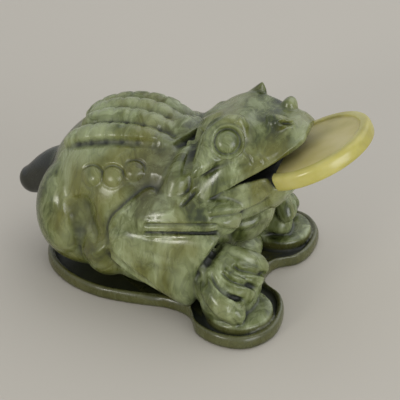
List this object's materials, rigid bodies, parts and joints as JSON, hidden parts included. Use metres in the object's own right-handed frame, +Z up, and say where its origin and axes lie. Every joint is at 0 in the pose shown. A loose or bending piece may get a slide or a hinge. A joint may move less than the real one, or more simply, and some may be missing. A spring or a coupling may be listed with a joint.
{
  "type": "jade toad figurine",
  "caption": "Carved green stone toad on a thin lobed plinth, strings of coins over its back, holding a loose yellow stone coin in its open mouth.",
  "frame": {"origin": "middle of the flat underside of the plinth, on the toad's centre plane", "axes": "+X towards the snout, +Y to the toad's left, +Z up"},
  "size_m": [0.0956, 0.0628, 0.0537],
  "materials": {
    "green_serpentine": "polished veined green serpentine, hand carved, slightly translucent",
    "yellow_serpentine": "polished pale yellow serpentine, translucent"
  },
  "bodies": {
    "toad": {"carved_toad": "green_serpentine"},
    "coin": {"mouth_coin": "yellow_serpentine"}
  },
  "joints": [
    {"name": "coin_slide", "type": "slide", "parent": "toad", "child": "coin", "axis": [0.8746, 0, 0.4848], "range_m": [0, 0.016]}
  ]
}
